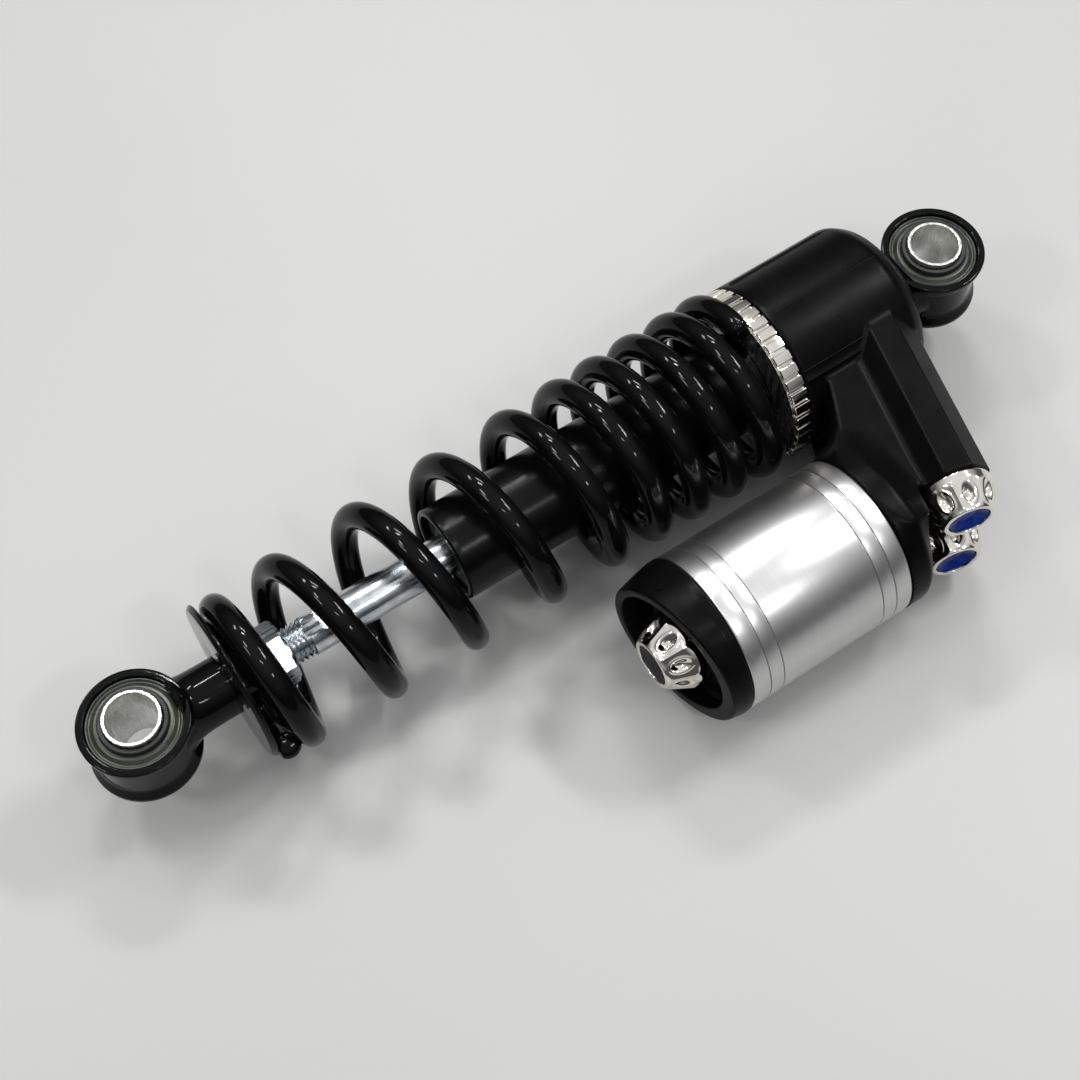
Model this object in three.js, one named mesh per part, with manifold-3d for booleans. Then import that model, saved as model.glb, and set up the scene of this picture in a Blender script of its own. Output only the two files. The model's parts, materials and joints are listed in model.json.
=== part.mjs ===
// Coil-over rear shock with a piggyback reservoir, lying on its side.
// Millimetres. +X runs along the damper from the lower eye to the upper eye, +Z is up along both
// eye bores, and the reservoir lies on the -Y side.
// Lengths are first laid out with x = 0 at the lower eye's centre and y = z = 0 on the damper's
// axis. The outer group then moves the origin to the middle of the footprint.

import * as THREE from 'three';
import { mergeVertices } from 'three/addons/utils/BufferGeometryUtils.js';
import Module from 'manifold-3d';

const wasm = await Module();
wasm.setup();

// ---------------------------------------------------------------- driving dimensions

const EYE_TO_EYE = 270;
const FIT_GAP = 0.3; // between solids that rest on each other
const RADIAL_GAP = 0.2; // between a ring and the bore that holds it

// eyes, bushes and sleeves, along Z
const EYE_RIM_R = 15.5;
const EYE_WAIST_R = 14.3;
const EYE_HALF = 9.7;
const EYE_BORE_R = 13.2;
const BUSH_HALF = 9.2;
const SLEEVE_R = 8.05;
const SLEEVE_BORE_R = 7;
const SLEEVE_HALF = 12.4;

// lower end, along X
const LOWER_NECK_R = 8.75;
const LOWER_SEAT_X = 27;
const LOWER_SEAT_THICK = 1.8;
const LOWER_SEAT_R = 23.8;
const LOWER_BOSS_R = 7.4;
const LOCK_NUT_X = 39;
const LOCK_NUT_WIDTH = 6;
const LOCK_NUT_FLATS = 16.5;

// rod and piston
const ROD_R = 5.9;
const ROD_THREAD_R = 5.5;
const ROD_THREAD_END = 51.5;
const ROD_FLATS_END = 58;
const ROD_FLATS_WIDTH = 9.8;
const ROD_START_X = 20;
const ROD_STUD_R = 4;
const ROD_STUD_X = 124.3;
const ROD_END_X = 144;
const PISTON_X = 124.6;
const PISTON_LENGTH = 10;
const SHIM = 0.6; // thickness of each step of the shim stack

// damper tube and what closes its mouth
const TUBE_R = 14.4;
const TUBE_BORE_R = 12.15;
const TUBE_MOUTH_X = 96;
const TUBE_END_X = 235.5;
const GUIDE_X = 106;
const GUIDE_LENGTH = 9;
const WIPER = [98.2, 100]; // places along X
const CLIP = [100.3, 101.4];
const ROD_SEAL = [101.7, 105.7];

// spring: wire centre at START_X, turns counted from the lower cut end
const WIRE_R = 3.9;
const SPRING_R = 24.8; // the coils grow to this at the upper end
const SPRING_TAPER = 4.2; // and are smaller by this at the lower end
const SPRING_LEAN = -2.1; // sideways, at the lower end
const SPRING_SETTLE = 3; // turns in which taper and lean fall to a third
const SPRING_START_X = 31.9;
const SPRING_START_ANGLE = THREE.MathUtils.degToRad(204);
const SPRING_TURNS = 9.67;
const SPRING_OUTER_R = 28.5; // round the last coils
const PITCH_CLOSED = 3.7;
const PITCH_OPEN = 26.5;
const PITCH_TIGHT = 12.95;
const PITCH_END = 8.8;

// preload ring and spring washer
const WASHER_X = 199.9;
const WASHER_THICK = 1;
const WASHER_R = 25;
const RING_X = 200.2;
const RING_END_X = 205.7;
const RING_R = 26.4;
const RING_TEETH = 40;
const TOOTH_DEPTH = 0.9;
const TOOTH_HALF = 0.34; // of the tooth spacing

// upper housing
const SHROUD_R = 26.5;
const SHROUD_X = 206;
const SHROUD_END_X = 255.4;
const UPPER_NECK_R = 9;
const ARM_TILT = THREE.MathUtils.degToRad(14.5);
const ARM_ROOT_X = 238;
const ARM_TOP_Z = 21.5;
const ARM_MID_Z = -2;
const ARM_END = 68.45; // from the damper's axis, along the arm
const WEB_TOP_Z = 16.5;

// reservoir, along X
const RES_Y = -59.3;
const RES_Z = -2.2;
const RES_R = 24.4;
const RES_BORE_R = 22.4;
const CAN_X = 142;
const CAN_END_X = 196;
const COLLAR_R = 24.5;
const SPIGOT_LENGTH = 8;
const CAP_TILT = THREE.MathUtils.degToRad(9);
const CAP_FRONT_X = 131.7; // where the slanted rim crosses the reservoir's axis
const CAP_CUP_R = 19.2;
const CAP_FLOOR_X = 139.2;
const GROOVE_FLOOR_R = 20.2; // of the O-ring grooves
const GROOVE_WIDTH = 2.6;
const GROOVE_SETBACK = 2.4; // from the canister's end
const FLOATING_X = 162;
const FLOATING_LENGTH = 10;

// adjuster knobs
const KNOB_R = 10;
const KNOB_FACE_R = 7.5;
const KNOB_LENGTH = 11;
const KNOB_HOLE_R = 6;
const KNOB_FACETS = 8;
const KNOB_HOLE_DEPTH = 4;
const DISH_BACK = 2.6;
const SPINDLE_R = 2.2;
const KNOB_TILT = THREE.MathUtils.degToRad(16);
const REAR_KNOBS = { upper: [218.9, -77.6, 10.7], lower: [220, -77.9, -14.6] }; // face centres
const FRONT_KNOB_FACE_X = 125.2;
const FRONT_KNOB_R = 11;
const FRONT_KNOB_LENGTH = 12.6;

const FINE = 30; // segments round a large visible circle
const COARSE = 16; // segments round a small or hidden one

// ---------------------------------------------------------------- finishes

const finish = (color, roughness, metalness) =>
  new THREE.MeshStandardMaterial({ color, roughness, metalness });
const GLOSS_BLACK = finish(0x0a0a0b, 0.18, 0);
const SATIN_BLACK = finish(0x161617, 0.45, 0);
const TUBE_BLACK = finish(0x101011, 0.35, 0.1);
const SILVER = finish(0xc9cacc, 0.28, 1);
const CHROME = finish(0xe6e2da, 0.06, 1);
const ZINC = finish(0xb9bcc0, 0.3, 1);
const STEEL = finish(0xa5a6a8, 0.35, 1);
const RUBBER = finish(0x2a302b, 0.4, 0);
const DARK_RUBBER = finish(0x151515, 0.7, 0);
const BLUE = finish(0x1430a0, 0.15, 1);
const BRONZE = finish(0x8a6a3c, 0.4, 1);

// ---------------------------------------------------------------- geometry helpers

// One closed shell: shared corners merged, no empty triangles, faces pointing out.
function closedShell(source) {
  const bare = source.clone();
  for (const name of Object.keys(bare.attributes)) {
    if (name !== 'position') bare.deleteAttribute(name);
  }
  const merged = mergeVertices(bare, 1e-4);
  const position = merged.getAttribute('position');
  const corner = [0, 1, 2].map(() => new THREE.Vector3());
  const faces = [];
  let volume = 0;
  for (let i = 0; i < merged.index.count; i += 3) {
    const face = [0, 1, 2].map((k) => merged.index.getX(i + k));
    if (new Set(face).size < 3) continue;
    face.forEach((v, k) => corner[k].fromBufferAttribute(position, v));
    volume += corner[0].dot(corner[1].clone().cross(corner[2]));
    faces.push(face);
  }
  const turned = volume < 0 ? faces.map(([a, b, c]) => [a, c, b]) : faces;
  const shell = new THREE.BufferGeometry();
  shell.setAttribute('position', position.clone());
  shell.setIndex(turned.flat());
  return shell;
}

function toSolid(geometry) {
  const shell = closedShell(geometry);
  return new wasm.Manifold(
    new wasm.Mesh({
      numProp: 3,
      vertProperties: new Float32Array(shell.getAttribute('position').array),
      triVerts: new Uint32Array(shell.index.array),
    }),
  );
}

function toGeometry(solid) {
  const mesh = solid.getMesh();
  const geometry = new THREE.BufferGeometry();
  geometry.setAttribute('position', new THREE.BufferAttribute(new Float32Array(mesh.vertProperties), 3));
  geometry.setIndex(new THREE.BufferAttribute(new Uint32Array(mesh.triVerts), 1));
  return geometry;
}

// Adds and cuts geometries: join(body, [added...], [cut...]).
function join(body, added = [], cut = []) {
  let solid = toSolid(body);
  for (const piece of added) solid = solid.add(toSolid(piece));
  for (const piece of cut) solid = solid.subtract(toSolid(piece));
  return toGeometry(solid);
}

// Revolves [along, radius] points about X. A profile off the axis closes on itself.
function turnAboutX(points, segments = COARSE) {
  const onAxis = points[0][1] === 0 && points.at(-1)[1] === 0;
  const ring = onAxis ? points : [...points, points[0]];
  return new THREE.LatheGeometry(ring.map(([along, radius]) => new THREE.Vector2(radius, along)), segments)
    .rotateZ(-Math.PI / 2);
}

function turnAboutZ(points, segments = COARSE) {
  return turnAboutX(points, segments).rotateY(-Math.PI / 2);
}

const washer = (x0, x1, inner, outer, segments) =>
  turnAboutX([[x0, inner], [x0, outer], [x1, outer], [x1, inner]], segments);

const plug = (x0, x1, radius, segments) =>
  turnAboutX([[x0, 0], [x0, radius], [x1, radius], [x1, 0]], segments);

const block = (x, y, z, width, depth, height) =>
  new THREE.BoxGeometry(width, depth, height).translate(x, y, z);

// Six-sided bar about X with a round bore.
function hexNut(x, width, acrossFlats, boreR) {
  const corner = acrossFlats / Math.sqrt(3);
  return join(plug(x, x + width, corner, 6), [], [plug(x - 1, x + width + 1, boreR)]);
}

const smooth = (from, to, t) => THREE.MathUtils.smoothstep(t, from, to);

const parts = new THREE.Group();

function add(name, geometry, material, place = (g) => g) {
  const mesh = new THREE.Mesh(closedShell(place(geometry)), material);
  mesh.name = name;
  parts.add(mesh);
  return mesh;
}

// ---------------------------------------------------------------- eyes with bush and sleeve

// Spool-shaped ring: rims at both faces and a shallow waist between them.
function eyeRing() {
  const rimEdge = EYE_RIM_R - 0.4;
  return turnAboutZ([
    [-EYE_HALF, EYE_BORE_R], [-EYE_HALF, rimEdge], [-EYE_HALF + 0.6, EYE_RIM_R],
    [-EYE_HALF + 2.6, EYE_WAIST_R], [EYE_HALF - 2.6, EYE_WAIST_R],
    [EYE_HALF - 0.6, EYE_RIM_R], [EYE_HALF, rimEdge], [EYE_HALF, EYE_BORE_R],
  ], FINE);
}

const eyeBore = () => turnAboutZ([
  [-20, 0], [-20, EYE_BORE_R], [20, EYE_BORE_R], [20, 0],
], FINE);

// Rubber ring with a shallow groove in each face.
function bushRing() {
  const outer = EYE_BORE_R - RADIAL_GAP;
  const inner = SLEEVE_R + RADIAL_GAP;
  return turnAboutZ([
    [-BUSH_HALF, inner], [-BUSH_HALF, 9.6], [-BUSH_HALF + 0.8, 10.2], [-BUSH_HALF + 0.8, 11.6],
    [-BUSH_HALF, 12], [-BUSH_HALF, outer], [BUSH_HALF, outer], [BUSH_HALF, 12],
    [BUSH_HALF - 0.8, 11.6], [BUSH_HALF - 0.8, 10.2], [BUSH_HALF, 9.6], [BUSH_HALF, inner],
  ], FINE);
}

const eyeSleeve = () => turnAboutZ([
  [-SLEEVE_HALF, SLEEVE_BORE_R], [-SLEEVE_HALF, SLEEVE_R], [SLEEVE_HALF, SLEEVE_R],
  [SLEEVE_HALF, SLEEVE_BORE_R],
], FINE);

const atUpperEye = (geometry) => geometry.translate(EYE_TO_EYE, 0, 0);

function lowerEye() {
  const neck = turnAboutX([
    [10, 0], [10, LOWER_NECK_R], [LOWER_SEAT_X - FIT_GAP, LOWER_NECK_R],
    [LOWER_SEAT_X - FIT_GAP, LOWER_BOSS_R], [LOCK_NUT_X - FIT_GAP, LOWER_BOSS_R], [LOCK_NUT_X - FIT_GAP, 0],
  ]);
  const rodHole = plug(ROD_START_X - 1, LOCK_NUT_X + 1, ROD_THREAD_R + RADIAL_GAP);
  return join(eyeRing(), [neck], [eyeBore(), rodHole]);
}

function upperEye() {
  const neck = plug(248, EYE_TO_EYE - 10, UPPER_NECK_R);
  return join(atUpperEye(eyeRing()), [neck], [atUpperEye(eyeBore())]);
}

add('lower_eye', lowerEye(), GLOSS_BLACK);
add('lower_bush', bushRing(), RUBBER);
add('lower_sleeve', eyeSleeve(), STEEL);
add('upper_eye', upperEye(), GLOSS_BLACK);
add('upper_bush', bushRing(), RUBBER, atUpperEye);
add('upper_sleeve', eyeSleeve(), STEEL, atUpperEye);

// ---------------------------------------------------------------- rod side

const seatFace = LOWER_SEAT_X + LOWER_SEAT_THICK;

// Thin disc with a bevelled back that the spring's lower end sits on.
function lowerSpringSeat() {
  const inner = LOWER_BOSS_R + RADIAL_GAP;
  return turnAboutX([
    [LOWER_SEAT_X, inner], [LOWER_SEAT_X, LOWER_SEAT_R - 1], [LOWER_SEAT_X + 1, LOWER_SEAT_R],
    [seatFace, LOWER_SEAT_R], [seatFace, inner],
  ], FINE);
}

function pistonRod() {
  const bar = turnAboutX([
    [ROD_START_X, 0], [ROD_START_X, ROD_THREAD_R], [ROD_THREAD_END, ROD_THREAD_R], [ROD_THREAD_END, ROD_R],
    [ROD_STUD_X, ROD_R], [ROD_STUD_X, ROD_STUD_R], [ROD_END_X, ROD_STUD_R], [ROD_END_X, 0],
  ]);
  const flatLength = ROD_FLATS_END - ROD_THREAD_END;
  const flatX = (ROD_FLATS_END + ROD_THREAD_END) / 2;
  const flats = [-1, 1].map((side) => block(flatX, 0, side * (ROD_FLATS_WIDTH / 2 + 2), flatLength, 20, 4));
  return join(bar, [], flats);
}

// Piston with a groove for its band.
function piston() {
  const end = PISTON_X + PISTON_LENGTH;
  const bore = ROD_STUD_R + RADIAL_GAP;
  return turnAboutX([
    [PISTON_X, bore], [PISTON_X, 11.7], [PISTON_X + 2, 11.7], [PISTON_X + 2, 10.8],
    [end - 2, 10.8], [end - 2, 11.7], [end, 11.7], [end, bore],
  ], FINE);
}

// Shims of falling size, stacked against the piston's face.
function pistonShims() {
  const x = PISTON_X + PISTON_LENGTH + FIT_GAP;
  const bore = ROD_STUD_R + RADIAL_GAP;
  return turnAboutX([
    [x, bore], [x, 9.5], [x + SHIM, 9.5], [x + SHIM, 8], [x + 2 * SHIM, 8], [x + 2 * SHIM, 6.5],
    [x + 3 * SHIM, 6.5], [x + 3 * SHIM, bore],
  ]);
}

const pistonNutX = PISTON_X + PISTON_LENGTH + 3 * SHIM + 2 * FIT_GAP;

add('lower_spring_seat', lowerSpringSeat(), GLOSS_BLACK);
add('lock_nut', hexNut(LOCK_NUT_X, LOCK_NUT_WIDTH, LOCK_NUT_FLATS, ROD_THREAD_R + RADIAL_GAP), ZINC);
add('piston_rod', pistonRod(), ZINC);
add('top_out_bumper', washer(GUIDE_X + GUIDE_LENGTH + 0.6, ROD_STUD_X, ROD_R + RADIAL_GAP, 9), DARK_RUBBER);
add('piston', piston(), STEEL);
add('piston_band', washer(PISTON_X + 2.3, PISTON_X + PISTON_LENGTH - 2.3, 11, 12, FINE), BRONZE);
add('piston_shims', pistonShims(), STEEL);
add('piston_nut', hexNut(pistonNutX, 5, 13, ROD_STUD_R + RADIAL_GAP), STEEL);

// ---------------------------------------------------------------- damper tube

// Straight tube with a rolled edge at its mouth.
function damperTube() {
  return turnAboutX([
    [TUBE_MOUTH_X, TUBE_BORE_R + 0.6], [TUBE_MOUTH_X, TUBE_R - 0.8], [TUBE_MOUTH_X + 0.8, TUBE_R],
    [TUBE_END_X, TUBE_R], [TUBE_END_X, TUBE_BORE_R], [TUBE_MOUTH_X + 0.8, TUBE_BORE_R],
  ], FINE);
}

function baseValve() {
  const x = TUBE_END_X - 9;
  return turnAboutX([
    [x - 4, 0], [x - 4, 3], [x, 3], [x, 11.9], [x + 5, 11.9], [x + 5, 6], [x + 8.5, 6], [x + 8.5, 0],
  ]);
}

const insideTube = TUBE_BORE_R - RADIAL_GAP;
const roundRod = ROD_R + 0.1;

add('damper_tube', damperTube(), TUBE_BLACK);
add('wiper', washer(...WIPER, roundRod, insideTube), DARK_RUBBER);
add('retaining_clip', washer(...CLIP, 9.8, insideTube), STEEL);
add('rod_seal', washer(...ROD_SEAL, roundRod, insideTube), DARK_RUBBER);
add('rod_guide', washer(GUIDE_X, GUIDE_X + GUIDE_LENGTH, roundRod, insideTube), BRONZE);
add('base_valve', baseValve(), BRONZE);

// ---------------------------------------------------------------- spring, washer and preload ring

// Rise per turn: closed at the lower end, wide in the lower half, tight above.
function springPitch(turn) {
  const open = PITCH_CLOSED + (PITCH_OPEN - PITCH_CLOSED) * smooth(0.47, 1.24, turn);
  const tight = open + (PITCH_TIGHT - PITCH_OPEN) * smooth(3.3, 6.1, turn);
  return tight + (PITCH_END - PITCH_TIGHT) * smooth(8.4, 9.4, turn);
}

// The wire's centreline: a helix whose pitch is summed in small steps. Its lower turns are a little
// smaller and lean to one side.
class SpringLine extends THREE.Curve {
  getPoint(t, target = new THREE.Vector3()) {
    const turn = t * SPRING_TURNS;
    const steps = Math.max(1, Math.ceil(turn * 60));
    let x = SPRING_START_X;
    for (let i = 0; i < steps; i += 1) x += springPitch(((i + 0.5) * turn) / steps) * (turn / steps);
    const angle = SPRING_START_ANGLE + turn * Math.PI * 2;
    const settle = Math.exp(-turn / SPRING_SETTLE);
    const radius = SPRING_R - SPRING_TAPER * settle;
    return target.set(x, SPRING_LEAN * settle + radius * Math.cos(angle), radius * Math.sin(angle));
  }
}

const springLow = seatFace + FIT_GAP;
const springHigh = WASHER_X - FIT_GAP;

// Round wire swept along the line, with both ends ground flat where they rest. Its frames keep one
// side facing the spring's axis.
function springWire(stepsPerTurn = 14, sides = 6) {
  const line = new SpringLine();
  const rings = Math.round(SPRING_TURNS * stepsPerTurn);
  const vertices = [];
  const faces = [];
  const along = new THREE.Vector3();
  for (let i = 0; i <= rings; i += 1) {
    const t = i / rings;
    const centre = line.getPoint(t);
    along.copy(line.getPoint(Math.min(1, t + 1e-4))).sub(line.getPoint(Math.max(0, t - 1e-4))).normalize();
    const outward = new THREE.Vector3(0, centre.y, centre.z).normalize();
    const across = new THREE.Vector3().crossVectors(along, outward).normalize();
    outward.crossVectors(across, along);
    for (let k = 0; k < sides; k += 1) {
      const a = (k / sides) * Math.PI * 2;
      const corner = centre.clone()
        .addScaledVector(outward, WIRE_R * Math.cos(a))
        .addScaledVector(across, WIRE_R * Math.sin(a));
      corner.x = THREE.MathUtils.clamp(corner.x, springLow, springHigh);
      vertices.push(...corner.toArray());
    }
  }
  for (let i = 0; i < rings; i += 1) {
    for (let k = 0; k < sides; k += 1) {
      const a = i * sides + k;
      const b = i * sides + ((k + 1) % sides);
      faces.push(a, b, b + sides, a, b + sides, a + sides);
    }
  }
  for (let k = 1; k < sides - 1; k += 1) {
    const last = rings * sides;
    faces.push(0, k + 1, k, last, last + k, last + k + 1);
  }
  const geometry = new THREE.BufferGeometry();
  geometry.setAttribute('position', new THREE.Float32BufferAttribute(vertices, 3));
  geometry.setIndex(faces);
  return geometry;
}

const ringBoreR = TUBE_R + 0.35;

// Ring with rectangular teeth round its rim and a recess that holds the washer.
function preloadRing() {
  const root = RING_R - TOOTH_DEPTH;
  const tooth = [[-TOOTH_HALF, RING_R], [TOOTH_HALF, RING_R], [TOOTH_HALF, root], [1 - TOOTH_HALF, root]];
  const corners = [];
  for (let i = 0; i < RING_TEETH; i += 1) {
    for (const [offset, radius] of tooth) {
      const angle = ((i + offset) * Math.PI * 2) / RING_TEETH;
      corners.push(new THREE.Vector2(radius * Math.cos(angle), radius * Math.sin(angle)));
    }
  }
  const depth = RING_END_X - RING_X;
  const body = new THREE.ExtrudeGeometry(new THREE.Shape(corners), { depth, bevelEnabled: false })
    .rotateY(Math.PI / 2).translate(RING_X, 0, 0);
  const bore = plug(RING_X - 1, RING_END_X + 1, ringBoreR, FINE);
  const recess = plug(RING_X - 1, WASHER_X + WASHER_THICK + FIT_GAP, WASHER_R + RADIAL_GAP, FINE);
  return join(body, [], [bore, recess]);
}

add('spring', springWire(), GLOSS_BLACK);
add('spring_washer', washer(WASHER_X, WASHER_X + WASHER_THICK, ringBoreR, WASHER_R, FINE), STEEL);
add('preload_ring', preloadRing(), CHROME);

// ---------------------------------------------------------------- upper housing

const onReservoir = (geometry) => geometry.translate(0, RES_Y, RES_Z);

const armAlong = new THREE.Vector3(-Math.sin(ARM_TILT), -Math.cos(ARM_TILT), 0);
const armAcross = new THREE.Vector3(Math.cos(ARM_TILT), -Math.sin(ARM_TILT), 0);

// Moves a solid made with +X along the arm, +Y across it towards -X, to the arm's place.
const alongArm = (geometry) => geometry.applyMatrix4(
  new THREE.Matrix4().makeBasis(armAlong, armAcross.clone().negate(), new THREE.Vector3(0, 0, 1))
    .setPosition(ARM_ROOT_X, 0, 0),
);

// Deep beam with a flat top and underside and a chamfer along each edge.
function arm() {
  const half = ARM_TOP_Z - ARM_MID_Z;
  const left = 8.4;
  const right = -11.6;
  const upper = [[left, half - 5.2], [3.3, half], [-4.7, half], [right, half - 6.8]];
  const lower = upper.map(([y, z]) => [y, -z]).reverse();
  const outline = new THREE.Shape([...upper, ...lower].map(([y, z]) => new THREE.Vector2(y, z)));
  const basis = new THREE.Matrix4().makeBasis(
    new THREE.Vector3(0, 1, 0), new THREE.Vector3(0, 0, 1), new THREE.Vector3(1, 0, 0),
  );
  return alongArm(
    new THREE.ExtrudeGeometry(outline, { depth: ARM_END - 6, bevelEnabled: false })
      .applyMatrix4(basis).translate(6, 0, ARM_MID_Z),
  );
}

// Flat plate between the shroud, the arm and the reservoir's collar.
function web() {
  const outline = new THREE.Shape();
  outline.moveTo(213.2, -12);
  outline.lineTo(212.8, -19.4);
  outline.quadraticCurveTo(208.5, -31, 200.4, -42.2);
  outline.lineTo(200.4, -50);
  outline.lineTo(203, -69);
  outline.lineTo(207.5, -70.5);
  outline.lineTo(210.6, -62.6);
  outline.lineTo(214.5, -63.2);
  outline.lineTo(236, -12);
  return new THREE.ExtrudeGeometry(outline, {
    depth: 2 * (WEB_TOP_Z - ARM_MID_Z), bevelEnabled: false, curveSegments: 6,
  }).translate(0, 0, 2 * ARM_MID_Z - WEB_TOP_Z);
}

// Barrel with a domed far end.
const shroud = () => turnAboutX([
  [SHROUD_X, 0], [SHROUD_X, SHROUD_R - 0.5], [SHROUD_X + 0.5, SHROUD_R], [243.8, SHROUD_R], [246.8, 25.2],
  [248.8, 23.2], [250.8, 20.2], [252.6, 16.7], [254.2, 12.6], [SHROUD_END_X, 9.8], [SHROUD_END_X, 0],
], FINE);

// The reservoir's rear cover: a spigot inside the canister, a collar, and a dome that runs into the arm.
const reservoirDome = () => onReservoir(turnAboutX([
  [CAN_END_X - SPIGOT_LENGTH, 0], [CAN_END_X - SPIGOT_LENGTH, RES_BORE_R - FIT_GAP],
  [CAN_END_X + FIT_GAP, RES_BORE_R - FIT_GAP], [CAN_END_X + FIT_GAP, COLLAR_R], [202.5, COLLAR_R],
  [204.6, 23.2], [206, 20.8], [207.4, 16], [208.6, 9], [209, 0],
], FINE));

function upperHousing() {
  const tubeHole = plug(SHROUD_X - 1, TUBE_END_X + 0.5, TUBE_R + RADIAL_GAP, FINE);
  const oilPocket = plug(TUBE_END_X, 240, 8);
  const neckHole = plug(247, SHROUD_END_X + 1, UPPER_NECK_R + RADIAL_GAP);
  const eyePocket = atUpperEye(turnAboutZ([[-10.2, 0], [-10.2, 16], [10.2, 16], [10.2, 0]], FINE));
  const oilLine = alongArm(plug(0, 62, 2.5, 12));
  const oilFeed = onReservoir(plug(CAN_END_X - SPIGOT_LENGTH - 1, 224, 2.5, 12));
  const spindleHole = plug(KNOB_LENGTH - 1, KNOB_LENGTH + 9, SPINDLE_R + FIT_GAP, 12);
  const spindleHoles = Object.values(REAR_KNOBS).map((face) => atKnob(spindleHole.clone(), face));
  const groove = CAN_END_X - GROOVE_SETBACK - GROOVE_WIDTH;
  const sealGroove = onReservoir(washer(groove, groove + GROOVE_WIDTH, GROOVE_FLOOR_R, COLLAR_R, FINE));
  return join(
    shroud(),
    [arm(), web(), reservoirDome()],
    [tubeHole, oilPocket, neckHole, eyePocket, oilLine, oilFeed, sealGroove, ...spindleHoles],
  );
}

// ---------------------------------------------------------------- reservoir

// Cap with a spigot, a tapered rim cut on a slant and a cup that holds the front knob.
function reservoirCap() {
  const body = turnAboutX([
    [120, 0], [120, 20.4], [129, 22.2], [135, 23.6], [139.5, COLLAR_R], [CAN_X - FIT_GAP, COLLAR_R],
    [CAN_X - FIT_GAP, RES_BORE_R - FIT_GAP], [CAN_X + SPIGOT_LENGTH, RES_BORE_R - FIT_GAP],
    [CAN_X + SPIGOT_LENGTH, 0],
  ], FINE);
  const slant = block(-20, 0, 0, 40, 80, 80).rotateZ(CAP_TILT).translate(CAP_FRONT_X, 0, 0);
  const cup = plug(100, CAP_FLOOR_X, CAP_CUP_R, FINE);
  const spindleHole = plug(CAP_FLOOR_X - 1, CAN_X + SPIGOT_LENGTH + 1, SPINDLE_R + FIT_GAP, 12);
  const groove = CAN_X + GROOVE_SETBACK;
  const sealGroove = washer(groove, groove + GROOVE_WIDTH, GROOVE_FLOOR_R, COLLAR_R - 0.5, FINE);
  return join(body, [], [slant, cup, spindleHole, sealGroove]);
}

// Free piston that parts the oil from the gas, with a groove for its ring.
function floatingPiston() {
  const end = FLOATING_X + FLOATING_LENGTH;
  const outer = RES_BORE_R - 0.4;
  return turnAboutX([
    [FLOATING_X + 4, 0], [FLOATING_X + 4, 18.6], [FLOATING_X, 18.6], [FLOATING_X, outer],
    [FLOATING_X + 3, outer], [FLOATING_X + 3, 20.6], [end - 3.4, 20.6], [end - 3.4, outer], [end, outer], [end, 0],
  ], FINE);
}

const floatingRing = () => washer(FLOATING_X + 3.3, FLOATING_X + 6.3, 20.8, RES_BORE_R - 0.2, FINE);

// O-ring in its groove, starting at x.
const reservoirSeal = (x) =>
  washer(x + 0.2, x + GROOVE_WIDTH - 0.2, GROOVE_FLOOR_R + 0.2, RES_BORE_R - 0.1, FINE);

add('reservoir_canister', washer(CAN_X, CAN_END_X, RES_BORE_R, RES_R, FINE), SILVER, onReservoir);
add('reservoir_cap', reservoirCap(), SATIN_BLACK, onReservoir);
add('cap_seal', reservoirSeal(CAN_X + GROOVE_SETBACK), DARK_RUBBER, onReservoir);
add('collar_seal', reservoirSeal(CAN_END_X - GROOVE_SETBACK - GROOVE_WIDTH), DARK_RUBBER, onReservoir);
add('floating_piston', floatingPiston(), SILVER, onReservoir);
add('floating_piston_ring', floatingRing(), DARK_RUBBER, onReservoir);

// ---------------------------------------------------------------- adjuster knobs

// Knobs are made with their face at x = 0 and their back at x = KNOB_LENGTH, then put in place with
// this axis running from the face into the arm.
const knobAxis = new THREE.Vector3(Math.sin(KNOB_TILT), Math.cos(KNOB_TILT), 0);

function atKnob(geometry, face) {
  const up = new THREE.Vector3(0, 0, 1);
  const side = new THREE.Vector3().crossVectors(up, knobAxis);
  return geometry.applyMatrix4(new THREE.Matrix4().makeBasis(knobAxis, side, up).setPosition(...face));
}

// Eight-sided knob that narrows towards its face, with a round hole in the face and one for its spindle.
function knob(radius, length) {
  const corner = radius / Math.cos(Math.PI / KNOB_FACETS);
  const body = turnAboutX([
    [0, 0], [0, KNOB_FACE_R], [length / 2, corner * 0.96], [length, corner], [length, 0],
  ], KNOB_FACETS);
  const hole = plug(-1, KNOB_HOLE_DEPTH, KNOB_HOLE_R);
  const spindle = plug(KNOB_HOLE_DEPTH - 1, length + 1, SPINDLE_R + 0.15, 12);
  return join(body, [], [hole, spindle]);
}

// Shallow dish that closes the hole in a knob's face.
const knobDish = () => turnAboutX([
  [1.2, 0], [0.5, KNOB_HOLE_R - 1.2], [0.1, KNOB_HOLE_R - RADIAL_GAP],
  [DISH_BACK, KNOB_HOLE_R - RADIAL_GAP], [DISH_BACK, 0],
]);

const knobSpindle = (length) => plug(DISH_BACK + FIT_GAP, KNOB_LENGTH + length, SPINDLE_R, 12);

const atFront = (geometry) => onReservoir(geometry.translate(FRONT_KNOB_FACE_X, 0, 0));

add('front_knob', knob(FRONT_KNOB_R, FRONT_KNOB_LENGTH), CHROME, atFront);
add('front_knob_plug', knobDish(), DARK_RUBBER, atFront);
add('front_spindle', knobSpindle(12), STEEL, atFront);
for (const [name, face] of Object.entries(REAR_KNOBS)) {
  add(`rear_knob_${name}`, knob(KNOB_R, KNOB_LENGTH), CHROME, (g) => atKnob(g, face));
  add(`rear_dish_${name}`, knobDish(), BLUE, (g) => atKnob(g, face));
  add(`rear_spindle_${name}`, knobSpindle(8), STEEL, (g) => atKnob(g, face));
}
add('upper_housing', upperHousing(), SATIN_BLACK);

// ---------------------------------------------------------------- the whole shock

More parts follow.
